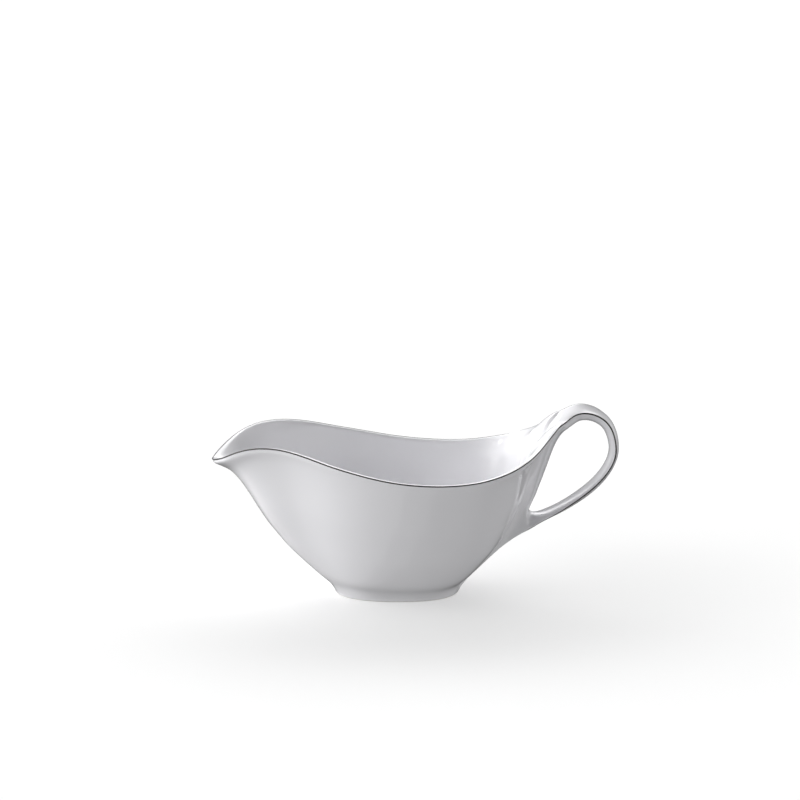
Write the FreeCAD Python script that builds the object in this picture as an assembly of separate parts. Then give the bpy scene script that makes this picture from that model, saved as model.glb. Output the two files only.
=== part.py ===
"""Gravy boat in glazed porcelain: bowl with a pouring lip, strap handle, oval foot, metal edge lines.

Millimetres, +Z up.  The origin is the middle of the foot's resting edge, the lip points
towards -X and the handle towards +X, and the boat is symmetric about the XZ plane.
"""
import FreeCAD, Part
import math
import os

from FreeCAD import Vector

# ---- foot ----------------------------------------------------------------------
FOOT_HEIGHT = 2.6
FOOT_HALF_LENGTH = 36.3
FOOT_HALF_WIDTH = 27.0
FOOT_SQUARENESS = 2.4
FOOT_TAPER = 1.1
FOOT_RING_WIDTH = 5.0
FOOT_EDGE_RADIUS = 0.9
FOOT_STEPS = 48

# ---- bowl ----------------------------------------------------------------------
WALL = 3.6
STRAP_WALL = 5.0
LIP_CROWN = 0.6
FLOOR_HEIGHT = 6.8
# Rings from the foot of the inner wall to the flat floor: share of the wall's reach, rise.
FLOOR_RINGS = [(0.84, 1.5), (0.68, 0.1), (0.60, 0.0)]
RIM_HALF_LENGTH = 100.0
RIM_HALF_WIDTH = 52.5
# Outer edge of the rim, one half of it, from the tip of the lip to the handle: x, y, z.
RIM_EDGE = [
    (-103.2, 0.0, 75.6),
    (-101.0, 10.4, 77.6),
    (-96.2, 20.0, 81.0),
    (-91.0, 25.3, 84.2),
    (-84.1, 29.0, 87.4),
    (-75.0, 32.1, 89.5),
    (-63.5, 35.4, 89.6),
    (-50.5, 40.0, 87.3),
    (-36.0, 45.5, 83.4),
    (-20.0, 49.9, 79.6),
    (-3.5, 52.1, 76.3),
    (13.3, 52.5, 74.4),
    (29.3, 51.4, 74.0),
    (43.2, 49.5, 75.0),
    (54.5, 46.7, 77.2),
    (64.2, 42.0, 80.1),
    (72.0, 36.4, 83.7),
    (77.9, 30.6, 87.6),
    (83.0, 25.0, 92.3),
    (86.9, 20.9, 96.1),
    (89.6, 17.9, 98.5),
    (95.4, 13.4, 102.9),
    (101.0, 11.8, 104.9),
]
# Underside of the strap where it leaves the bowl, from beside the edge to the middle.
STRAP_UNDERSIDE = [(102.0, 7.5, 100.6), (102.5, 0.0, 98.6)]
# Wall profile: share of the height, then share of the reach out to the rim for the pouring
# lip, the sides, the wings beside the handle and the spine that runs up into the handle.
WALL_PROFILE = [
    (0.000, 0.000, 0.000, 0.000, 0.000),
    (0.050, 0.035, 0.130, 0.030, 0.048),
    (0.133, 0.128, 0.365, 0.145, 0.165),
    (0.324, 0.362, 0.640, 0.410, 0.428),
    (0.516, 0.543, 0.797, 0.583, 0.605),
    (0.707, 0.677, 0.898, 0.697, 0.705),
    (0.850, 0.782, 0.953, 0.783, 0.780),
    (0.925, 0.872, 0.980, 0.878, 0.840),
    (0.965, 0.965, 0.992, 0.962, 0.895),
    (1.000, 1.000, 1.000, 1.000, 1.000),
]

# ---- strap handle --------------------------------------------------------------
# Joint between bowl and handle: a plane across the strap, through this point, leaning back.
SEAM_X = 95.4
SEAM_Z = 102.9
SEAM_LEAN = 28.0
SEAM_BLOCK = 25.0
# Along the loop: edge x, edge z, way the outer face looks (degrees from +X towards +Z),
# half width, crown of the outer face, depth of the underside below the edges.
STRAP = [
    (90.0, 98.9, 123.0, 16.6, -1.6, 6.9),
    (95.4, 102.9, 117.0, 13.4, -0.9, 6.9),
    (101.8, 104.9, 93.0, 11.7, 0.2, 6.2),
    (108.4, 104.1, 72.0, 10.8, 0.7, 5.7),
    (114.4, 100.9, 50.0, 10.2, 1.2, 5.2),
    (119.2, 94.6, 26.0, 10.0, 1.7, 4.4),
    (121.5, 84.5, 1.0, 9.9, 2.0, 3.6),
    (119.6, 74.9, -23.0, 9.4, 2.4, 2.8),
    (113.0, 65.1, -43.0, 8.8, 2.9, 2.0),
    (102.8, 55.7, -53.5, 8.3, 2.9, 1.9),
    (90.6, 47.7, -61.0, 8.2, 2.8, 2.3),
    (77.7, 41.2, -62.0, 9.0, 2.8, 3.6),
    (66.0, 35.6, -60.0, 10.5, 3.4, 7.0),
]
# Half of the strap's section: share of the half width, then of the crown (above the
# edges) or of the depth (below them).
STRAP_CROWN = [(0.00, 1.00), (0.45, 0.82), (0.80, 0.38), (1.00, 0.00)]
STRAP_BELLY = [(0.95, 0.28), (0.74, 0.64), (0.40, 0.92), (0.00, 1.00)]

# ---- metal lines ---------------------------------------------------------------
LINE_WIDTH = 0.8
LINE_THICKNESS = 0.15
LINE_SIDES = 8
LINE_STEPS = 3


# ---- curves and surfaces ---------------------------------------------------------
def oval(half_length, half_width, angle, z):
    """Point of a squarish oval at the given angle, in the plane at height z."""
    power = 2.0 / FOOT_SQUARENESS
    c, s = math.cos(angle), math.sin(angle)
    x = math.copysign(half_length * abs(c) ** power, c)
    y = math.copysign(half_width * abs(s) ** power, s)
    return Vector(x, y, z)


def mirrored(half):
    """Whole ring from one half of it that starts and ends on the XZ plane."""
    return half + [Vector(p.x, -p.y, p.z) for p in half[-2:0:-1]]


def open_spline(points, parameters):
    curve = Part.BSplineCurve()
    curve.interpolate(Points=points, Parameters=parameters)
    return curve


def ring_spline(points):
    curve = Part.BSplineCurve()
    parameters = [float(i) for i in range(len(points) + 1)]
    curve.interpolate(Points=points, Parameters=parameters, PeriodicFlag=True)
    return curve


def stack_parameters(rings):
    """A parameter for each ring, from the mean distance between one ring and the next."""
    parameters = [0.0]
    for low, high in zip(rings, rings[1:]):
        gap = sum((b - a).Length for a, b in zip(low, high)) / len(low)
        parameters.append(parameters[-1] + gap)
    return parameters


def skin(rings):
    """Smooth surface through closed rings of points: u runs round a ring, v up the stack."""
    parameters = stack_parameters(rings)
    columns = [open_spline(list(column), parameters) for column in zip(*rings)]
    rows = [ring_spline(list(row)) for row in zip(*(c.getPoles() for c in columns))]
    poles = [list(row) for row in zip(*(r.getPoles() for r in rows))]
    surface = Part.BSplineSurface()
    surface.buildFromPolesMultsKnots(
        poles, rows[0].getMultiplicities(), columns[0].getMultiplicities(),
        rows[0].getKnots(), columns[0].getKnots(), True, False, 3, 3,
    )
    return surface


def capped(surface):
    """Solid inside a tube-like surface whose two end rings are flat."""
    side = surface.toShape()
    low, high = surface.bounds()[2:]
    caps = [Part.Face(Part.Wire(surface.vIso(v).toShape())) for v in (low, high)]
    shell = Part.Shell([side] + caps)
    shell.sewShape()
    solid = Part.Solid(Part.Shell(shell.Faces))
    if solid.Volume < 0:
        solid.reverse()
    return solid


# ---- pieces --------------------------------------------------------------------
def outer_rings(rim):
    """Rings up the outside of the bowl, from the top of the foot to the rim's outer edge."""
    angles = [math.atan2(p.y / RIM_HALF_WIDTH, p.x / RIM_HALF_LENGTH) for p in rim]
    rings = []
    for height, lip, side, wing, spine in WALL_PROFILE:
        ring = []
        for j, (angle, edge) in enumerate(zip(angles, rim)):
            foot = oval(FOOT_HALF_LENGTH, FOOT_HALF_WIDTH, angle, FOOT_HEIGHT)
            front = max(0.0, -math.cos(angle)) ** 2
            rear = max(0.0, math.cos(angle)) ** 2
            back = wing if j < len(RIM_EDGE) else spine
            reach = front * lip + rear * back + (1 - front - rear) * side
            point = foot + (edge - foot) * reach
            point.z = foot.z + (edge.z - foot.z) * height
            ring.append(point)
        rings.append(mirrored(ring))
    return rings


def wall_thickness():
    """Wall thickness at each point round the rim: thicker where the wall becomes the strap."""
    half = [WALL] * len(RIM_EDGE) + [STRAP_WALL] * len(STRAP_UNDERSIDE)
    half[len(RIM_EDGE) - 1] = (WALL + STRAP_WALL) / 2
    return half + half[-2:0:-1]


def bowl_skin():
    """Surface up the outside, over the rim and down the inside, and the rim edge's place on it."""
    rim = [Vector(*point) for point in RIM_EDGE + STRAP_UNDERSIDE]
    outside = outer_rings(rim)
    surface = skin(outside)
    levels = stack_parameters(outside)
    thickness = wall_thickness()
    top = len(levels) - 1
    columns = range(len(thickness))
    lip = []
    for j in columns:
        inward = surface.normal(float(j), levels[top])
        upward = surface.tangent(float(j), levels[top])[1]
        lip.append(outside[top][j] + inward * (thickness[j] / 2) + upward * LIP_CROWN)
    inside = []
    for k in range(top, 1, -1):
        normals = [surface.normal(float(j), levels[k]) for j in columns]
        inside.append([outside[k][j] + normals[j] * thickness[j] for j in columns])
    foot = inside[-1]
    floor = []
    for share, rise in FLOOR_RINGS:
        floor.append([Vector(p.x * share, p.y * share, FLOOR_HEIGHT + rise) for p in foot])
    return skin(outside + [lip] + inside + floor), levels[top]


def seam_block(direction):
    """Block with one face on the joint plane, reaching forwards (1) or backwards (-1) from it."""
    lean = math.radians(SEAM_LEAN)
    along = Vector(math.cos(lean), 0, math.sin(lean))
    down = Vector(along.z, 0, -along.x)
    across = Vector(0, SEAM_BLOCK, 0)
    middle = Vector(SEAM_X, 0, SEAM_Z)
    corners = [
        middle - down * SEAM_BLOCK - across, middle + down * SEAM_BLOCK / 2 - across,
        middle + down * SEAM_BLOCK / 2 + across, middle - down * SEAM_BLOCK + across,
    ]
    face = Part.Face(Part.makePolygon(corners + corners[:1]))
    return face.extrude(along * SEAM_BLOCK * direction)


def strap_ring(x, z, facing, half_width, crown, depth):
    """Section of the strap: crowned outer face, a crisp edge each side, rounded underside."""
    out = Vector(math.cos(math.radians(facing)), 0, math.sin(math.radians(facing)))
    outline = [(side, crown * rise) for side, rise in STRAP_CROWN]
    outline += [(side, -depth * fall) for side, fall in STRAP_BELLY]
    edge = Vector(x, 0, z)
    half = [edge + out * proud + Vector(0, half_width * side, 0) for side, proud in outline]
    return mirrored(half)


def line_along(surface, path):
    """Thin rounded line that lies along a path of surface parameters, sunk half into it."""
    points = [surface.value(u, v) for u, v in path]
    rings = []
    for i, (u, v) in enumerate(path):
        ahead = points[min(i + 1, len(path) - 1)] - points[max(i - 1, 0)]
        normal = surface.normal(u, v)
        across = ahead.cross(normal).normalize()
        ring = []
        for step in range(LINE_SIDES):
            turn = 2 * math.pi * step / LINE_SIDES
            offset = across * (math.cos(turn) * LINE_WIDTH / 2)
            ring.append(points[i] + offset + normal * (math.sin(turn) * LINE_THICKNESS))
        rings.append(ring)
    return capped(skin(rings))


def largest(shape):
    return max(shape.Solids, key=lambda solid: solid.Volume)


def make_foot():
    def loop(shrink, z):
        turns = [2 * math.pi * step / FOOT_STEPS for step in range(FOOT_STEPS)]
        half_length, half_width = FOOT_HALF_LENGTH - shrink, FOOT_HALF_WIDTH - shrink
        points = [oval(half_length, half_width, turn, z) for turn in turns]
        return Part.Wire(ring_spline(points).toShape())

    outside = Part.makeLoft([loop(FOOT_TAPER, 0), loop(0, FOOT_HEIGHT)], True, True)
    hollow = FOOT_RING_WIDTH + FOOT_TAPER
    recess = Part.makeLoft([loop(FOOT_RING_WIDTH, 0), loop(hollow, FOOT_HEIGHT)], True, True)
    ring = outside.cut(recess)
    resting = [edge for edge in ring.Edges if edge.BoundBox.ZMax < FOOT_EDGE_RADIUS / 2]
    return largest(ring.makeFillet(FOOT_EDGE_RADIUS, resting))


def make_rim_line(surface, level, bowl):
    """Line round the rim's outer edge, from the joint past the tip of the lip to the joint."""
    last = len(RIM_EDGE) - 1
    steps = range(-last * LINE_STEPS, last * LINE_STEPS + 1)
    around = surface.getUKnots()[-1]
    path = [((step / LINE_STEPS) % around, level) for step in steps]
    return largest(line_along(surface, path).cut(bowl).cut(seam_block(1)))


def make_handle_line(surface, corner, bowl, handle):
    """Line along one crisp edge of the strap, from the joint round to the lower root."""
    low, high = surface.bounds()[2:]
    count = len(STRAP) * LINE_STEPS
    path = [(corner, low + (high - low) * step / count) for step in range(count)]
    line = line_along(surface, path).cut(seam_block(-1))
    return largest(line.cut(handle).cut(bowl))


def main():
    os.makedirs("parts", exist_ok=True)
    bowl_surface, rim_level = bowl_skin()
    strap_surface = skin([strap_ring(*station) for station in STRAP])
    bowl = largest(capped(bowl_surface).cut(seam_block(1)))
    handle = largest(capped(strap_surface).cut(seam_block(-1)).cut(bowl))
    right = float(len(STRAP_CROWN) - 1)
    left = strap_surface.getUKnots()[-1] - right
    pieces = {
        "bowl": bowl,
        "handle": handle,
        "foot_ring": make_foot(),
        "rim_line": make_rim_line(bowl_surface, rim_level, bowl),
        "handle_line_left": make_handle_line(strap_surface, left, bowl, handle),
        "handle_line_right": make_handle_line(strap_surface, right, bowl, handle),
    }
    for name, shape in pieces.items():
        shape.exportStep(f"parts/{name}.step")
        print(name, shape.isValid(), round(shape.Volume, 1), len(shape.Solids), shape.BoundBox)


main()
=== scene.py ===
"""Looks of the gravy boat.

The porcelain is one seamless body. A cage of quads is worked out from the sections below, so that
its smooth limit surface passes through them, and is then cut into the bowl, handle and foot.
The metal line is a thin band laid along the crisp edges of the rim and the handle.
"""
import math

import bpy
import numpy as np
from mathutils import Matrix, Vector


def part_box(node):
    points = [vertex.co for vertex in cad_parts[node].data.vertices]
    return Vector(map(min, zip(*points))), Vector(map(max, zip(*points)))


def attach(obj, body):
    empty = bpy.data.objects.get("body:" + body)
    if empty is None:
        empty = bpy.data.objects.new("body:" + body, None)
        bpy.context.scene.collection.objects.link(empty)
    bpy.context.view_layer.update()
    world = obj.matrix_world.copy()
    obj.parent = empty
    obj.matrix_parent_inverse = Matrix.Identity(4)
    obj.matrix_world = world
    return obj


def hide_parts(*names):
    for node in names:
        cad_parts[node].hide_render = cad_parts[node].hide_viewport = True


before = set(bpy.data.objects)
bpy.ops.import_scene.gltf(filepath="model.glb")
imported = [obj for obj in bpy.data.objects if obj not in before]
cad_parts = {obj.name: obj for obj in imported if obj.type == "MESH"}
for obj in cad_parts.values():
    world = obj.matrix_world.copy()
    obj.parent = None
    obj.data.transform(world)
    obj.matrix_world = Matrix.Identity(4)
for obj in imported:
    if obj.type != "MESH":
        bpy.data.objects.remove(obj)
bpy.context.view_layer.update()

# ---- bowl, in millimetres ------------------------------------------------------------
MM = 0.001
WALL = 3.5
STRAP_WALL = 4.8
# Columns from the middle of the strap, and how much of the strap's shape the rim has there.
STRAP_BLEND = ((4, 5, 6, 7, 8, 9), (1.0, 0.72, 0.42, 0.20, 0.06, 0.0))
# Where the rows lie on the curve from the bowl's inside up into the strap, and where on it the
# curve passes the row below the rim.
BLEND_PLACES = (0.82, 0.63, 0.45, 0.25)
BLEND_KNEE = 0.6
# How far the top of the rim dips inwards beside the strap: columns from the middle with their
# shares, then the dip of each row in from the edge.
DIP_SHARES = ((2, 4, 5, 6, 7, 8, 10), (0.0, 0.7, 1.0, 0.9, 0.6, 0.3, 0.0))
DIP_ROWS = (0.5, 1.7, 2.4, 1.8)
# Rows that keep the edge of the rim crisp: distance in from it, share of the way down to the
# next row outside, share of the way in across the top, distance down the inside.
EDGE_SUPPORT = 0.9
SIDE_SUPPORT = 0.34
TOP_SUPPORT = 0.72
INSIDE_SUPPORT = 1.3
# Least slope of the wall that the inner corner of the rim is worked out with.
LEAST_RISE = 0.3
# How much of the rib under the strap still shows on the inside, low down.
RIB_INSIDE = 0.4
FLOOR_HEIGHT = 6.8
# Rows in from the foot of the inner wall: share of its reach, height above the floor.
FLOOR_ROWS = ((0.80, 0.7), (0.58, 0.0))
# Columns from the ends to the corners of the grids that fill the floor and the recess.
GRID_CORNER = 4
RIM_HALF = (100.0, 52.5)
# Outer edge of the rim, one half, from the tip of the lip to the strap.
RIM = [
    (-103.4, 0.0, 75.6), (-101.0, 10.4, 77.6), (-96.2, 20.0, 81.0), (-91.0, 25.3, 84.2),
    (-84.1, 29.0, 87.4), (-75.0, 32.1, 89.5), (-63.5, 35.4, 89.6), (-50.5, 40.0, 87.3),
    (-36.0, 45.5, 83.4), (-20.0, 49.9, 79.6), (-3.5, 52.1, 76.3), (13.3, 52.5, 74.4),
    (29.3, 51.4, 74.0), (43.2, 49.5, 75.0), (54.5, 46.7, 77.2), (64.2, 42.0, 80.1),
    (72.0, 36.4, 83.7), (77.9, 29.9, 87.3), (83.0, 23.6, 91.8), (86.9, 20.2, 95.9),
    (89.6, 17.9, 98.7),
]
# Rows up the wall: share of the height; share of the reach from foot to rim below the lip, at
# the sides and at the wings; then the rib under the strap: x at its spine, x and y where it
# meets the wall, and how much higher the row runs there.
ROWS = [
    (0.050, 0.035, 0.130, 0.030, 39.2, 38.5, 9.0, 0.0),
    (0.130, 0.125, 0.360, 0.140, 47.0, 45.9, 9.1, 0.0),
    (0.270, 0.300, 0.580, 0.340, 61.3, 59.3, 9.3, 0.0),
    (0.370, 0.412, 0.685, 0.462, 68.8, 65.4, 9.4, 0.0),
    (0.485, 0.518, 0.775, 0.562, 74.6, 71.4, 9.7, 0.2),
    (0.540, 0.562, 0.812, 0.597, 76.9, 73.2, 10.0, 0.3),
    (0.610, 0.612, 0.855, 0.642, 79.5, 75.2, 10.3, 0.5),
    (0.740, 0.698, 0.910, 0.715, 83.9, 78.5, 10.9, 0.9),
    (0.860, 0.790, 0.957, 0.790, 88.0, 82.1, 11.8, 1.6),
    (0.930, 0.878, 0.982, 0.885, 91.8, 86.8, 13.2, 3.0),
    (0.968, 0.972, 0.993, 0.970, 0.0, 0.0, 0.0, 0.0),
]
ROOT_ROWS = (2, 3, 4)
SPINE_TOP = 98.0

# ---- foot, in millimetres --------------------------------------------------------------
FOOT_HALF = (36.2, 27.0)
FOOT_SQUARENESS = 2.4
FOOT_TOP = 2.9
# Rows up from the recess: how far in from the outline, and height.
FOOT_ROWS = [(9.0, 2.1), (7.2, 2.0), (6.2, 1.6), (5.4, 0.5), (4.4, 0.0), (2.0, 0.0), (1.2, 0.45),
             (0.8, 1.3), (0.35, 2.2)]

# ---- strap, in millimetres ---------------------------------------------------------------
# Stations from the joint at the rim round to the lower root: x and z of the edges, way the
# outer face looks in degrees, half width, crown above the edges, depth below them.
STRAP = [
    (91.5, 99.9, 121.5, 16.1, -1.5, 6.3),
    (96.6, 103.2, 113.0, 13.0, -0.8, 6.3),
    (102.2, 104.9, 92.0, 11.5, 0.2, 6.1),
    (108.4, 104.1, 72.0, 10.8, 0.7, 5.7),
    (114.4, 100.9, 50.0, 10.2, 1.2, 5.2),
    (119.2, 94.6, 26.0, 10.0, 1.7, 4.4),
    (121.5, 84.5, 1.0, 9.9, 2.0, 3.6),
    (119.6, 74.9, -23.0, 9.4, 2.4, 2.8),
    (113.0, 65.1, -43.0, 8.8, 2.9, 2.0),
    (102.8, 55.7, -53.5, 8.3, 2.9, 1.9),
    (90.8, 47.4, -61.0, 8.2, 2.2, 2.3),
    (81.0, 41.9, -68.0, 8.6, 1.7, 3.5),
    (73.1, 37.5, -100.0, 9.2, 2.8, 8.4),
]
# Where the columns run across it, as shares of the half width.
TOP_SIDES = (1.00, 0.91, 0.72, 0.42, 0.00)
BELLY_SIDES = (0.95, 0.82, 0.60, 0.32, 0.00)
SIDE_DROP = 0.16

# ---- metal line, in millimetres ------------------------------------------------------------
LINE_HALF = 0.55
LINE_STEPS = 4
# Height at which the line is still full, and at which it has run out, on the lower arm.
LINE_FADE = (56.0, 38.0)
# Least share of its width that is left where it has run out.
LINE_THINNEST = 0.12
LINE_PROUD = 0.05
LINE_SUNK = 0.03
SMOOTH_LEVELS = 3
# How far the hidden face that closes a cut dips straight down before it crosses over, and the
# number of edges above which a cut runs round the foot and not across the strap.
CAP_INSET = 0.8
LONG_CUT = 200

# ---- tones, darkest and lightest of each material ----------------------------------------
WHITE = (1.0, 1.0, 1.0, 1.0)
GLAZE_TONES = ((0.80, 0.797, 0.82, 1.0), (0.84, 0.837, 0.86, 1.0))
BARE_TONES = ((0.66, 0.65, 0.62, 1.0), (0.74, 0.73, 0.70, 1.0))
LUSTRE_TONES = ((0.05, 0.048, 0.045, 1.0), (0.10, 0.097, 0.093, 1.0))
FLOOR_TONES = ((0.60, 0.60, 0.60, 1.0), (0.62, 0.62, 0.62, 1.0))
FLOOR_GLOW = 0.38
# Heights between which the foot goes from bare to glazed, in millimetres.
WIPED_EDGE = (0.4, 0.8)

# ---- camera and studio, in metres and degrees --------------------------------------------
CAMERA_DISTANCE = 1.30
CAMERA_HEIGHT_ANGLE = 18.0
CAMERA_SIDE_ANGLE = -89.0
CAMERA_AIM = (0.0017, 0.0, 0.1094)
CAMERA_LENS_MM = 102.96
FLOOR_SIZE = 60.0
# Soft lights all round: way towards the light in plan, sine of the elevation at which it fades
# in, sine at which it fades out, strength.
SOFT_LIGHTS = [
    ((-1.0, 0.0, 0.0), (0.25, 0.50), (0.60, 0.90), 3.2),
    ((0.0, 1.0, 0.0), (0.25, 0.50), (0.60, 0.90), 4.3),
    ((-1.0, 0.0, 0.0), (-0.75, -0.05), (0.25, 0.50), 3.3),
    ((1.0, 0.0, 0.0), (-0.35, 0.05), (0.25, 0.50), 2.2),
]
# Small softbox up on the left that gives the glaze its sharp highlight: place, size, power.
SPARKLE_PLACE = (-1.29, -0.17, 0.71)
SPARKLE_SIZE = (0.14, 0.08)
SPARKLE_WATTS = 0.7
# Light thrown back by the ground in front: fades out upwards, strength.
GROUND_FADE = (-0.35, 0.05)
GROUND_LIGHT = 0.50

PIECES = ("bowl", "handle", "foot_ring")


# ---- sections --------------------------------------------------------------------------
def oval(shrink, angle, z):
    power = 2.0 / FOOT_SQUARENESS
    c, s = math.cos(angle), math.sin(angle)
    return np.array([math.copysign((FOOT_HALF[0] - shrink) * abs(c) ** power, c),
                     math.copysign((FOOT_HALF[1] - shrink) * abs(s) ** power, s), z])


def strap_half(x, z, facing, half_width, crown, depth):
    """Half a section of the strap: points across the top, the side point, points across below."""
    turn = math.radians(facing)
    out = np.array([math.cos(turn), 0.0, math.sin(turn)])
    edge = np.array([x, 0.0, z])

    def point(side, proud):
        return edge + out * proud + np.array([0.0, half_width * side, 0.0])

    top = [point(side, crown * (1.0 - side ** 2)) for side in TOP_SIDES]
    belly = [point(side, -depth * math.sqrt(1.0 - side ** 2)) for side in BELLY_SIDES]
    return np.array(top), point(1.0, -depth * SIDE_DROP), np.array(belly)


def strap_ring(station):
    """Section of the strap as a ring: top from +Y to -Y, side, underside back, side."""
    top, side, belly = strap_half(*station)
    flip = np.array([1, -1, 1])
    return np.vstack([top, top[-2::-1] * flip, [side * flip], belly * flip, belly[-2::-1], [side]])


def mirrored(half):
    """Whole ring from one half of it that starts and ends on the XZ plane."""
    return np.vstack([half, half[-2:0:-1] * np.array([1, -1, 1])])


def rounding(side):
    """How far a half round has fallen away at a share of its half width."""
    return 1.0 - math.sqrt(1.0 - side ** 2)


def wall_rows(edge, belly, relief):
    """Rows up the outside of the wall. relief scales how proud the rib under the strap stands."""
    angles = [math.atan2(p[1] / RIM_HALF[1], p[0] / RIM_HALF[0]) for p in edge]
    rows = []
    for height, lip, flank, wing, spine, valley, valley_y, tilt in ROWS:
        row = []
        for j, (angle, rim) in enumerate(zip(angles, edge)):
            across = j - len(RIM)
            if across >= 0:
                share = BELLY_SIDES[across] / BELLY_SIDES[0]
                fall = rounding(BELLY_SIDES[across]) / rounding(BELLY_SIDES[0]) * relief(height)
                z = FOOT_TOP + (SPINE_TOP - FOOT_TOP) * height + tilt * fall
                x = spine - (spine - valley) * fall
                row.append(np.array([x, valley_y * share, z]) if spine else belly[across])
                continue
            foot = oval(0.0, angle, FOOT_TOP)
            front, rear = max(0.0, -math.cos(angle)) ** 2, max(0.0, math.cos(angle)) ** 2
            reach = front * lip + rear * wing + (1.0 - front - rear) * flank
            point = foot + (rim - foot) * reach
            point[2] = foot[2] + (rim[2] - foot[2]) * height
            row.append(point)
        rows.append(mirrored(np.array(row)))
    feet = [mirrored(np.array([oval(shrink, a, z) for a in angles])) for shrink, z in FOOT_ROWS]
    return feet, np.array(rows)


def inward_normals(rows):
    around = np.roll(rows, -1, axis=1) - np.roll(rows, 1, axis=1)
    up = np.gradient(rows, axis=0)
    normals = np.cross(around, up)
    return normals / np.linalg.norm(normals, axis=2, keepdims=True), up


def blend_strap(rows, edge, low, strapness):
    """Spaces the rows evenly, on one smooth curve, where the bowl's inside rises into the strap."""
    middle = rows[-1].copy()
    knee = BLEND_KNEE
    for row, s in zip(rows, BLEND_PLACES):
        curve = low * (s - knee) * (s - 1.0) / knee
        curve = curve - middle * s * (s - 1.0) / (knee * (1.0 - knee))
        curve = curve + edge * s * (s - knee) / (1.0 - knee)
        row += (curve - row) * strapness


def inner_rows(edge, outside):
    """Rows across the top of the rim and down the inside, one wall thickness in."""
    from_middle = np.abs(np.arange(len(edge)) - len(edge) // 2)
    strapness = np.interp(from_middle, *STRAP_BLEND)[:, None]
    normals, up = inward_normals(outside)
    inside = outside + normals * (WALL + (STRAP_WALL - WALL) * strapness)

    # Inner corner of the rim: level with its edge, one wall thickness in from the outside.
    rise = up[-1] / np.linalg.norm(up[-1], axis=1, keepdims=True)
    steep = np.maximum(rise[:, 2], LEAST_RISE)
    climb = (edge[:, 2] - inside[-1][:, 2]) / steep
    corner = inside[-1] + rise * climb[:, None]
    flat = corner - edge
    width = np.linalg.norm(flat, axis=1, keepdims=True)
    crest = [edge + flat / width * EDGE_SUPPORT, edge + flat * TOP_SUPPORT,
             corner - rise * INSIDE_SUPPORT]
    blend_strap(crest + [inside[-2]], edge, inside[-3], strapness)
    dip = np.interp(from_middle, *DIP_SHARES)
    for row, depth in zip(crest + [inside[-2]], DIP_ROWS):
        row[:, 2] -= depth * dip
    floor = []
    for share, height in FLOOR_ROWS:
        row = inside[0] * share
        row[:, 2] = FLOOR_HEIGHT + height
        floor.append(row)
    return crest + list(inside[-2::-1]), floor


# ---- cage ------------------------------------------------------------------------------
class Cage:
    """Quads and the points that their smooth surface has to pass through."""

    def __init__(self):
        self.points = []
        self.faces = []
        self.pieces = []
        self.seams = set()

    def ring(self, points):
        first = len(self.points)
        self.points.extend(points)
        return list(range(first, first + len(points)))

    def quad(self, corners, piece):
        self.faces.append(tuple(corners))
        self.pieces.append(PIECES.index(piece))

    def bridge(self, low, high, piece, gap=()):
        for j in range(len(low)):
            k = (j + 1) % len(low)
            if j not in gap:
                self.quad((low[j], low[k], high[k], high[j]), piece)

    def seam(self, path):
        self.seams.update(frozenset(pair) for pair in zip(path, path[1:]))

    def disc(self, ring, corner, piece):
        """Fills a ring with a grid of quads whose corners lie corner steps off the ring's ends."""
        n, half = len(ring), len(ring) // 2
        wide, long = 2 * corner, half - 2 * corner
        grid = [[None] * (wide + 1) for _ in range(long + 1)]
        for b in range(wide + 1):
            grid[0][b] = ring[(b - corner) % n]
            grid[long][b] = ring[half + corner - b]
        for a in range(long + 1):
            grid[a][wide] = ring[corner + a]
            grid[a][0] = ring[(n - corner - a) % n]

        def at(a, b):
            return np.array(self.points[grid[a][b]])

        for a in range(1, long):
            for b in range(1, wide):
                u, v = a / long, b / wide
                sides = (1 - u) * at(0, b) + u * at(long, b) + (1 - v) * at(a, 0) + v * at(a, wide)
                ends = (1 - u) * ((1 - v) * at(0, 0) + v * at(0, wide))
                ends = ends + u * ((1 - v) * at(long, 0) + v * at(long, wide))
                grid[a][b] = self.ring([sides - ends])[0]
        for a in range(long):
            for b in range(wide):
                corners = (grid[a][b], grid[a + 1][b], grid[a + 1][b + 1], grid[a][b + 1])
                self.quad(corners, piece)

    def compact(self):
        used = sorted({v for face in self.faces for v in face})
        place = {old: new for new, old in enumerate(used)}
        self.points = np.array([self.points[v] for v in used])
        self.faces = [tuple(place[v] for v in face) for face in self.faces]
        self.seams = {frozenset(place[v] for v in pair) for pair in self.seams}

    def fit(self):
        """Moves the points so that the Catmull-Clark limit surface passes where they were."""
        n = len(self.points)
        edges = np.zeros((n, n))
        corners = np.zeros((n, n))
        for a, b, c, d in self.faces:
            for p, q in ((a, b), (b, c), (c, d), (d, a)):
                edges[p, q] = edges[q, p] = 1.0
            for p, q in ((a, c), (b, d)):
                corners[p, q] += 1.0
                corners[q, p] += 1.0
        valence = edges.sum(axis=1)
        limit = np.diag(valence ** 2) + 4.0 * edges + corners
        limit /= (valence * (valence + 5.0))[:, None]
        self.points = np.linalg.solve(limit, self.points)


def handle_rings(cage, start, end):
    """Rings of the strap from the joint at the rim to the root, joined to the bowl's at both."""
    rings = [cage.ring(strap_ring(station)) for station in STRAP[1:]]
    rings = [start] + rings + [end]
    for low, high in zip(rings, rings[1:]):
        cage.bridge(high, low, "handle")
    return rings


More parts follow.
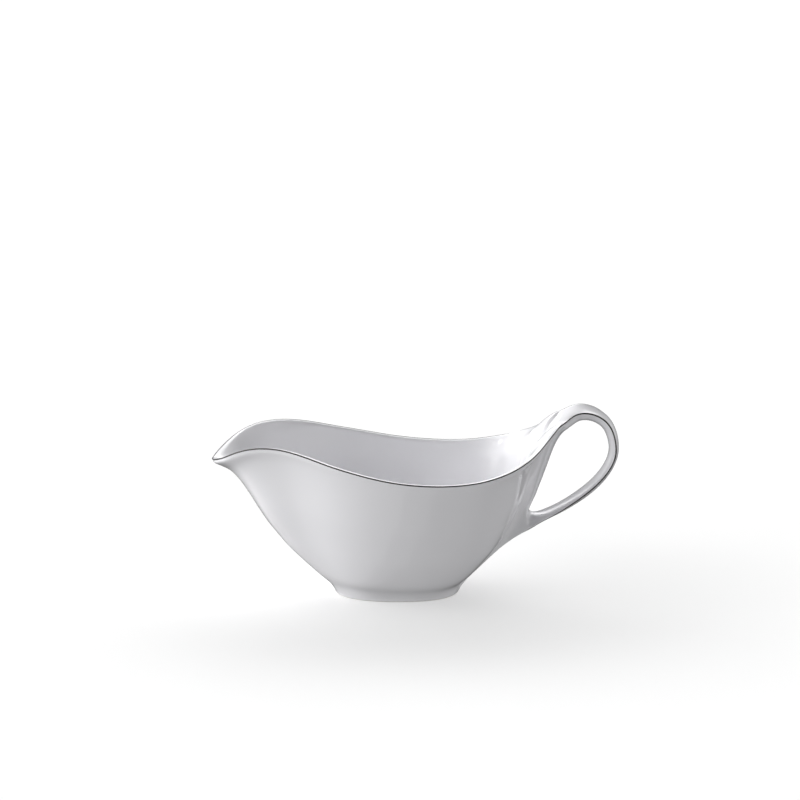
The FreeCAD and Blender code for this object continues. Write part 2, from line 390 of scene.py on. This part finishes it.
def porcelain_cage():
    """Cage of the whole boat. Its wall has two holes where the strap leaves and comes back."""
    top, side, belly = strap_half(*STRAP[0])
    half_edge = np.vstack([RIM, top])
    edge = mirrored(half_edge)
    n = len(edge)
    first, last = len(RIM), n - len(RIM)
    strap = range(first, last + 1)

    feet, outside = wall_rows(half_edge, belly, lambda height: 1.0)
    softened = wall_rows(half_edge, belly,
                         lambda height: RIB_INSIDE + (1.0 - RIB_INSIDE) * height ** 2)[1]
    support = edge + (outside[-1] - edge) * SIDE_SUPPORT
    support[first], support[last] = side, side * np.array([1, -1, 1])
    inside, floor = inner_rows(edge, softened)

    cage = Cage()
    foot_rings = [cage.ring(row) for row in feet]
    wall_rings = [cage.ring(row) for row in outside]
    support_ring, edge_ring = cage.ring(support), cage.ring(edge)
    inner_rings = [cage.ring(row) for row in inside]
    floor_rings = [cage.ring(row) for row in floor]

    cage.disc(foot_rings[0], GRID_CORNER, "bowl")
    for low, high in zip(foot_rings, foot_rings[1:]):
        cage.bridge(low, high, "foot_ring")
    cage.bridge(foot_rings[-1], wall_rings[0], "bowl")
    stack = wall_rings + [support_ring, edge_ring]
    open_levels = {ROOT_ROWS[0], ROOT_ROWS[1], len(wall_rings) - 1, len(wall_rings)}
    for level, (low, high) in enumerate(zip(stack, stack[1:])):
        cage.bridge(low, high, "bowl", range(first, last) if level in open_levels else ())
    stack = [edge_ring] + inner_rings + floor_rings
    for low, high in zip(stack, stack[1:]):
        cage.bridge(low, high, "bowl")
    cage.disc(floor_rings[-1][:1] + floor_rings[-1][:0:-1], GRID_CORNER, "bowl")

    def hole(upper, middle, lower):
        back = [lower[j] for j in reversed(strap)]
        return [upper[j] for j in strap] + [middle[last]] + back + [middle[first]]

    root = [wall_rings[k] for k in ROOT_ROWS]
    rings = handle_rings(cage, hole(edge_ring, support_ring, wall_rings[-1]), hole(*root))
    cage.seam([edge_ring[j % n] for j in range(last, n + first + 1)])
    for corner in (0, len(strap) - 1):
        cage.seam([ring[corner] for ring in rings[:-1]])
    cage.compact()
    cage.fit()
    return cage


def smooth_body(cage):
    """The cage's limit surface as a fine mesh. Material numbers say which piece a face is in."""
    mesh = bpy.data.meshes.new("cage")
    mesh.from_pydata((cage.points * MM).tolist(), [], cage.faces)
    for _ in PIECES:
        mesh.materials.append(None)
    mesh.polygons.foreach_set("material_index", cage.pieces)
    mesh.polygons.foreach_set("use_smooth", [True] * len(cage.faces))
    for line in mesh.edges:
        line.use_seam = frozenset(line.vertices) in cage.seams
    holder = bpy.data.objects.new("cage", mesh)
    bpy.context.scene.collection.objects.link(holder)
    modifier = holder.modifiers.new("smooth", "SUBSURF")
    modifier.levels = modifier.render_levels = SMOOTH_LEVELS
    modifier.use_limit_surface = True
    graph = bpy.context.evaluated_depsgraph_get()
    fine = bpy.data.meshes.new_from_object(holder.evaluated_get(graph))
    bpy.data.objects.remove(holder)
    return fine


class Body:
    """The fine mesh as arrays, with its outward normals."""

    def __init__(self, mesh):
        self.points = read(mesh.vertices, "co", 3)
        self.faces = read(mesh.polygons, "vertices", 4, int)
        self.pieces = read(mesh.polygons, "material_index", 1, int)[:, 0]
        seams = read(mesh.edges, "use_seam", 1, bool)[:, 0]
        self.seams = read(mesh.edges, "vertices", 2, int)[seams]
        self.normals = read(mesh.vertices, "normal", 3)
        if self.volume() < 0:
            self.faces = self.faces[:, ::-1]
            self.normals = -self.normals

    def volume(self):
        a, b, c, d = (self.points[self.faces[:, k]] for k in range(4))
        triple = (a * np.cross(b, c)).sum() + (a * np.cross(c, d)).sum()
        return triple / 6.0


def read(items, name, width, kind=float):
    values = np.zeros(len(items) * width, dtype=kind)
    items.foreach_get(name, values)
    return values.reshape(-1, width)


def boundary_loops(faces):
    """Closed loops of open edges, each in the order that faces on the far side would use."""
    pairs = [(a, b) for face in faces for a, b in zip(face, np.roll(face, -1))]
    inner = set(pairs)
    follow = {b: a for a, b in pairs if (b, a) not in inner}
    loops = []
    while follow:
        start, after = follow.popitem()
        loop = [start]
        while after != start:
            loop.append(after)
            after = follow.pop(after)
        loops.append(loop)
    return loops


def add_piece(name, points, faces, normals, caps=()):
    """Mesh object from its visible faces, with the given normals, and hidden flat caps."""
    mesh = bpy.data.meshes.new(name)
    mesh.from_pydata(points.tolist(), [], [list(face) for face in faces] + list(caps))
    mesh.polygons.foreach_set("use_smooth", [True] * len(mesh.polygons))
    corner_normals = [normals[v] for face in faces for v in face]
    for polygon in list(mesh.polygons)[len(faces):]:
        corner_normals.extend([polygon.normal] * len(polygon.vertices))
    mesh.normals_split_custom_set([tuple(normal) for normal in corner_normals])
    piece = bpy.data.objects.new(name, mesh)
    bpy.context.scene.collection.objects.link(piece)
    return piece


def cut_piece(body, name):
    """One piece of the body, closed where it was cut from its neighbours."""
    faces = body.faces[body.pieces == PIECES.index(name)]
    used, places = np.unique(faces, return_inverse=True)
    faces = places.reshape(faces.shape)
    points, normals = body.points[used], body.normals[used]
    caps = []
    long_loops = []
    for loop in boundary_loops(faces):
        if len(loop) > LONG_CUT:
            start = min(range(len(loop)), key=lambda k: points[loop[k]][0])
            long_loops.append(loop[start:] + loop[:start])
            continue
        inset = points[loop] - normals[loop] * CAP_INSET * MM
        inner = list(range(len(points), len(points) + len(loop)))
        centre = inner[-1] + 1
        points = np.vstack([points, inset, inset.mean(axis=0)])
        for a, b, c, d in zip(loop, loop[1:] + loop[:1], inner[1:] + inner[:1], inner):
            caps += [(a, b, c, d), (d, c, centre)]
    if long_loops:
        outer, inner = long_loops
        inner = inner[:1] + inner[:0:-1]
        for k in range(len(outer)):
            m = (k + 1) % len(outer)
            caps.append((outer[k], outer[m], inner[m], inner[k]))
    return add_piece(name + "_porcelain", points, faces, normals, caps)


def step_across(face, first, second):
    """The far corners of a face, the one beside first and then the one beside second."""
    place = face.index(first)
    if face[(place + 1) % 4] == second:
        return face[place - 1], face[(place + 2) % 4]
    return face[(place + 1) % 4], face[place - 2]


def walk_across(body, by_edge, first, second, index):
    """Vertices met on the way straight off a chain from both ends of one of its edges."""
    paths = [[first], [second]]
    reach = 0.0
    while reach < LINE_HALF * MM:
        face = body.faces[index].tolist()
        for path, after in zip(paths, step_across(face, paths[0][-1], paths[1][-1])):
            path.append(after)
        reach = min(np.linalg.norm(body.points[path[-1]] - body.points[path[0]]) for path in paths)
        crossed = frozenset((paths[0][-1], paths[1][-1]))
        index = next(other for other in by_edge[crossed] if other != index)
    return paths


def even_steps(body, path):
    """Points and normals at even distances along a path, out to the edge of the line."""
    points, normals = body.points[path], body.normals[path]
    lengths = np.linalg.norm(np.diff(points, axis=0), axis=1)
    along = np.concatenate([[0.0], np.cumsum(lengths)])
    full, none = LINE_FADE
    taper = min(1.0, max(LINE_THINNEST, (points[0][2] / MM - none) / (full - none)))
    wanted = np.linspace(0.0, LINE_HALF * MM * taper, LINE_STEPS + 1)
    spots = np.array([np.interp(wanted, along, values) for values in points.T]).T
    ways = np.array([np.interp(wanted, along, values) for values in normals.T]).T
    return spots, ways


def make_band(name, body, by_edge, chain):
    """Thin closed band of even width over the body, along a chain of its edges."""
    points, normals, faces, places = [], [], [], {}

    def steps(path):
        key = (path[0], path[1])
        if key not in places:
            spots, ways = even_steps(body, path)
            ids = [places.setdefault(path[0], len(points))]
            if ids[0] == len(points):
                points.append(spots[0])
                normals.append(ways[0])
            ids += range(len(points), len(points) + LINE_STEPS)
            points.extend(spots[1:])
            normals.extend(ways[1:])
            places[key] = ids
        return places[key]

    for a, b in chain:
        for index in by_edge[frozenset((a, b))]:
            face = body.faces[index].tolist()
            ahead = face[(face.index(a) + 1) % 4] == b
            ends = (a, b) if ahead else (b, a)
            near, far = (steps(path) for path in walk_across(body, by_edge, *ends, index))
            for k in range(LINE_STEPS):
                faces.append((near[k], far[k], far[k + 1], near[k + 1]))
    points, normals = np.array(points), np.array(normals)
    normals /= np.linalg.norm(normals, axis=1, keepdims=True)
    count = len(points)
    both = np.vstack([points + normals * LINE_PROUD * MM, points - normals * LINE_SUNK * MM])
    sides = []
    for loop in boundary_loops(faces):
        sides += [(a, b, b + count, a + count) for a, b in zip(loop, loop[1:] + loop[:1])]
    under = [tuple(v + count for v in reversed(face)) for face in faces]
    return add_piece(name + "_metal", both, faces, normals, sides + under)


# ---- materials and studio ---------------------------------------------------------------
def node(tree, kind, **values):
    made = tree.nodes.new(kind)
    for name, value in values.items():
        setattr(made, name, value)
    return made


def new_material(name):
    material = bpy.data.materials.new(name)
    material.use_nodes = True
    tree = material.node_tree
    return material, tree, tree.nodes["Principled BSDF"]


def noise(tree, scale, detail=3.0, roughness=0.5):
    coords = node(tree, "ShaderNodeTexCoord")
    made = node(tree, "ShaderNodeTexNoise")
    made.inputs["Scale"].default_value = scale
    made.inputs["Detail"].default_value = detail
    made.inputs["Roughness"].default_value = roughness
    tree.links.new(coords.outputs["Object"], made.inputs["Vector"])
    return made.outputs["Fac"]


def ramp(tree, source, low, high, start=0.3, end=0.7):
    made = node(tree, "ShaderNodeValToRGB")
    made.color_ramp.elements[0].position = start
    made.color_ramp.elements[0].color = low
    made.color_ramp.elements[1].position = end
    made.color_ramp.elements[1].color = high
    tree.links.new(source, made.inputs["Fac"])
    return made.outputs["Color"]


def spread(tree, source, low, high):
    made = node(tree, "ShaderNodeMapRange")
    made.inputs["To Min"].default_value = low
    made.inputs["To Max"].default_value = high
    tree.links.new(source, made.inputs["Value"])
    return made.outputs["Result"]


def bump(tree, shader, source, distance, strength=1.0):
    made = node(tree, "ShaderNodeBump")
    made.inputs["Strength"].default_value = strength
    made.inputs["Distance"].default_value = distance
    tree.links.new(source, made.inputs["Height"])
    tree.links.new(made.outputs["Normal"], shader.inputs["Normal"])


def glaze_material():
    """White glaze: a little uneven in tone and gloss, with a faint ripple."""
    material, tree, shader = new_material("white_glaze")
    tint = ramp(tree, noise(tree, 14.0), *GLAZE_TONES)
    tree.links.new(tint, shader.inputs["Base Color"])
    tree.links.new(spread(tree, noise(tree, 90.0), 0.07, 0.12), shader.inputs["Roughness"])
    shader.inputs["IOR"].default_value = 1.5
    bump(tree, shader, noise(tree, 26.0, 2.0), 0.0004, 0.12)
    return material


def foot_material():
    """The same glaze, wiped away where the foot rests so that bare porcelain shows."""
    material, tree, shader = new_material("foot_glaze")
    coords = node(tree, "ShaderNodeTexCoord")
    split = node(tree, "ShaderNodeSeparateXYZ")
    tree.links.new(coords.outputs["Object"], split.inputs["Vector"])
    glazed = node(tree, "ShaderNodeMapRange")
    glazed.inputs["From Min"].default_value = WIPED_EDGE[0] * MM
    glazed.inputs["From Max"].default_value = WIPED_EDGE[1] * MM
    tree.links.new(split.outputs["Z"], glazed.inputs["Value"])
    bare = ramp(tree, noise(tree, 600.0), *BARE_TONES)
    glaze = ramp(tree, noise(tree, 14.0), *GLAZE_TONES)
    mix = node(tree, "ShaderNodeMix", data_type="RGBA")
    tree.links.new(glazed.outputs["Result"], mix.inputs["Factor"])
    tree.links.new(bare, mix.inputs["A"])
    tree.links.new(glaze, mix.inputs["B"])
    tree.links.new(mix.outputs["Result"], shader.inputs["Base Color"])
    tree.links.new(spread(tree, glazed.outputs["Result"], 0.70, 0.13), shader.inputs["Roughness"])
    bump(tree, shader, noise(tree, 900.0), 0.00005, 0.2)
    return material


def metal_material():
    """Dark fired lustre, worn a little unevenly along the edge."""
    material, tree, shader = new_material("metal_line")
    tint = ramp(tree, noise(tree, 160.0), *LUSTRE_TONES)
    tree.links.new(tint, shader.inputs["Base Color"])
    tree.links.new(spread(tree, noise(tree, 300.0), 0.32, 0.48), shader.inputs["Roughness"])
    shader.inputs["Metallic"].default_value = 1.0
    shader.inputs["Specular Tint"].default_value = (0.4, 0.4, 0.4, 1)
    return material


def floor_material():
    """Pale matte panel, lit a little from within so that shadows on it stay soft."""
    material, tree, shader = new_material("floor_panel")
    tint = ramp(tree, noise(tree, 3.0), *FLOOR_TONES)
    tree.links.new(tint, shader.inputs["Base Color"])
    shader.inputs["Roughness"].default_value = 0.9
    shader.inputs["Emission Color"].default_value = WHITE
    shader.inputs["Emission Strength"].default_value = FLOOR_GLOW
    return material


def make_floor():
    mesh = bpy.data.meshes.new("floor")
    half = FLOOR_SIZE / 2
    corners = [(-half, -half, 0), (half, -half, 0), (half, half, 0), (-half, half, 0)]
    mesh.from_pydata(corners, [], [(0, 1, 2, 3)])
    floor = bpy.data.objects.new("floor", mesh)
    bpy.context.scene.collection.objects.link(floor)
    mesh.materials.append(floor_material())
    floor.visible_diffuse = floor.visible_glossy = False


def aim(thing, target):
    direction = Vector(target) - thing.location
    thing.rotation_euler = direction.to_track_quat("-Z", "Y").to_euler()


def make_camera():
    data = bpy.data.cameras.new("camera")
    data.lens = CAMERA_LENS_MM
    data.sensor_width = 36.0
    data.clip_start = 0.05
    data.clip_end = 50.0
    camera = bpy.data.objects.new("camera", data)
    height, side = math.radians(CAMERA_HEIGHT_ANGLE), math.radians(CAMERA_SIDE_ANGLE)
    flat = CAMERA_DISTANCE * math.cos(height)
    camera.location = (flat * math.cos(side), flat * math.sin(side),
                       CAMERA_DISTANCE * math.sin(height))
    aim(camera, CAMERA_AIM)
    bpy.context.scene.collection.objects.link(camera)
    bpy.context.scene.camera = camera


def calculate(tree, operation, first, second):
    """Sum, product and so on of two values, each of them a socket or a number."""
    made = node(tree, "ShaderNodeMath", operation=operation)
    for place, value in enumerate((first, second)):
        if isinstance(value, (int, float)):
            made.inputs[place].default_value = value
        else:
            tree.links.new(value, made.inputs[place])
    return made.outputs["Value"]


def fade(tree, value, start, end):
    made = node(tree, "ShaderNodeMapRange", interpolation_type="SMOOTHSTEP")
    made.inputs["From Min"].default_value = start
    made.inputs["From Max"].default_value = end
    tree.links.new(value, made.inputs["Value"])
    return made.outputs["Result"]


def towards(tree, direction, way):
    """Cosine between two directions, nothing when they point apart."""
    made = node(tree, "ShaderNodeVectorMath", operation="DOT_PRODUCT")
    tree.links.new(direction, made.inputs[0])
    made.inputs[1].default_value = way
    return calculate(tree, "MAXIMUM", made.outputs["Value"], 0.0)


def studio_light(tree):
    """Strength of the light that comes from each direction."""
    coords = node(tree, "ShaderNodeTexCoord")
    split = node(tree, "ShaderNodeSeparateXYZ")
    tree.links.new(coords.outputs["Generated"], split.inputs["Vector"])
    height = split.outputs["Z"]
    flat = node(tree, "ShaderNodeCombineXYZ")
    tree.links.new(split.outputs["X"], flat.inputs["X"])
    tree.links.new(split.outputs["Y"], flat.inputs["Y"])
    plan = node(tree, "ShaderNodeVectorMath", operation="NORMALIZE")
    tree.links.new(flat.outputs["Vector"], plan.inputs[0])
    front = calculate(tree, "MULTIPLY_ADD", split.outputs["Y"], -0.5)
    front.node.inputs[2].default_value = 0.5
    below = calculate(tree, "SUBTRACT", 1.0, fade(tree, height, *GROUND_FADE))
    total = calculate(tree, "MULTIPLY", calculate(tree, "MULTIPLY", below, front), GROUND_LIGHT)
    for way, rise, fall, strength in SOFT_LIGHTS:
        side = calculate(tree, "POWER", towards(tree, plan.outputs["Vector"], way), 2.0)
        band = calculate(tree, "SUBTRACT", fade(tree, height, *rise), fade(tree, height, *fall))
        part = calculate(tree, "MULTIPLY", calculate(tree, "MULTIPLY", side, band), strength)
        total = calculate(tree, "ADD", total, part)
    return total


def softbox(name, location, target, size, watts):
    data = bpy.data.lights.new(name, "AREA")
    data.shape = "RECTANGLE"
    data.size, data.size_y = size
    data.energy = watts
    light = bpy.data.objects.new(name, data)
    light.location = location
    aim(light, target)
    bpy.context.scene.collection.objects.link(light)


def make_world():
    """Soft light from all round; the camera sees plain white behind the object."""
    world = bpy.data.worlds.new("studio")
    world.use_nodes = True
    tree = world.node_tree
    around = tree.nodes["Background"]
    around.inputs["Color"].default_value = WHITE
    tree.links.new(studio_light(tree), around.inputs["Strength"])
    behind = node(tree, "ShaderNodeBackground")
    behind.inputs["Color"].default_value = WHITE
    path = node(tree, "ShaderNodeLightPath")
    mix = node(tree, "ShaderNodeMixShader")
    tree.links.new(path.outputs["Is Camera Ray"], mix.inputs["Fac"])
    tree.links.new(around.outputs["Background"], mix.inputs[1])
    tree.links.new(behind.outputs["Background"], mix.inputs[2])
    tree.links.new(mix.outputs["Shader"], tree.nodes["World Output"].inputs["Surface"])
    bpy.context.scene.world = world


def make_lines(body):
    """Bands along the rim and along the two edges of the strap."""
    handle = set(body.faces[body.pieces == PIECES.index("handle")].ravel().tolist())
    bowl = set(body.faces[body.pieces == PIECES.index("bowl")].ravel().tolist())
    lines = {"rim_line": [], "handle_line_left": [], "handle_line_right": []}
    for a, b in body.seams.tolist():
        on_strap = a in handle and b in handle
        if on_strap and not (a in bowl and b in bowl):
            side = "left" if body.points[a][1] < 0 else "right"
            lines["handle_line_" + side].append((a, b))
        else:
            lines["rim_line"].append((a, b))
    by_edge = {}
    for index, face in enumerate(body.faces.tolist()):
        for a, b in zip(face, face[1:] + face[:1]):
            by_edge.setdefault(frozenset((a, b)), []).append(index)
    return {name: make_band(name, body, by_edge, chain) for name, chain in lines.items()}


def main():
    body = Body(smooth_body(porcelain_cage()))
    glaze = glaze_material()
    foot = foot_material()
    metal = metal_material()
    for name in PIECES:
        piece = cut_piece(body, name)
        piece.data.materials.append(foot if name == "foot_ring" else glaze)
        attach(piece, "root")
        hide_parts(name)
    for name, band in make_lines(body).items():
        band.data.materials.append(metal)
        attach(band, "root")
        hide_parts(name)
    make_floor()
    make_camera()
    make_world()
    softbox("sparkle_softbox", SPARKLE_PLACE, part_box("bowl")[1], SPARKLE_SIZE, SPARKLE_WATTS)
    bpy.context.scene.view_settings.view_transform = "Standard"


main()
